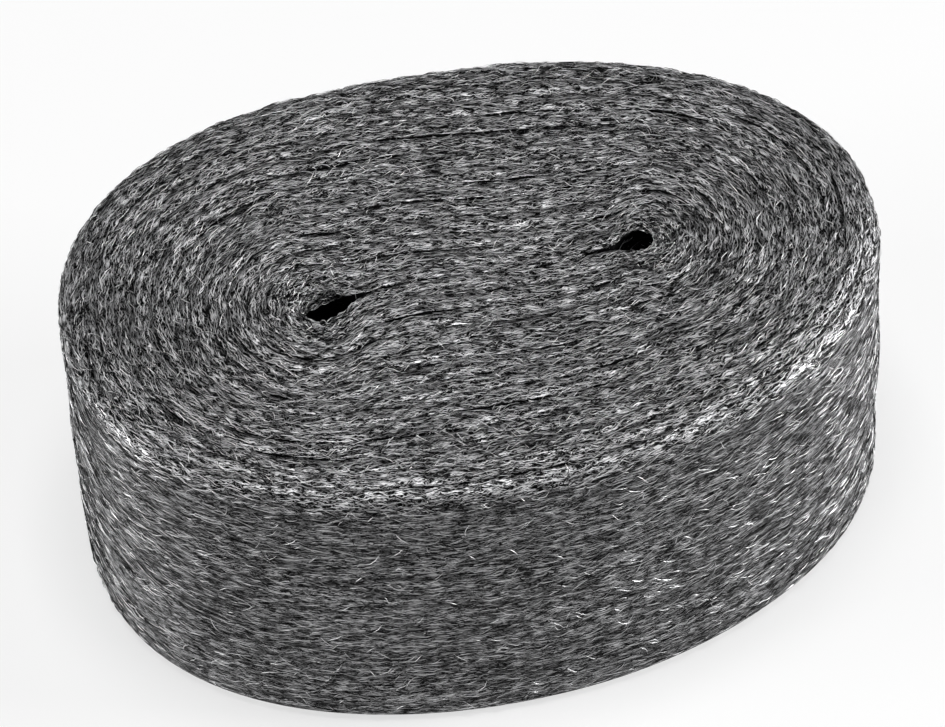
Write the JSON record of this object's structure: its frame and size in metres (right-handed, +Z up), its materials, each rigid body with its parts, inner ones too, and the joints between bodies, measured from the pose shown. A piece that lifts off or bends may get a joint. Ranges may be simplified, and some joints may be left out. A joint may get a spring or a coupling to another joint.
{
  "type": "steel wool roll",
  "caption": "Flat-wound oval roll of steel wool ribbon standing on its edge, with an eye at each end of its closed slit, for scouring and polishing.",
  "frame": {"origin": "under the middle of the roll, on the surface that it stands on", "axes": "+X from the left eye to the right one, along the roll's length; +Z up, along the ribbon's width"},
  "size_m": [0.2, 0.134, 0.09],
  "materials": {
    "steel_wool": "fine loose steel fibres laid along the ribbon, grey, with bright glints"
  },
  "bodies": {
    "root": {"steel_wool_roll": "steel_wool"}
  },
  "joints": []
}
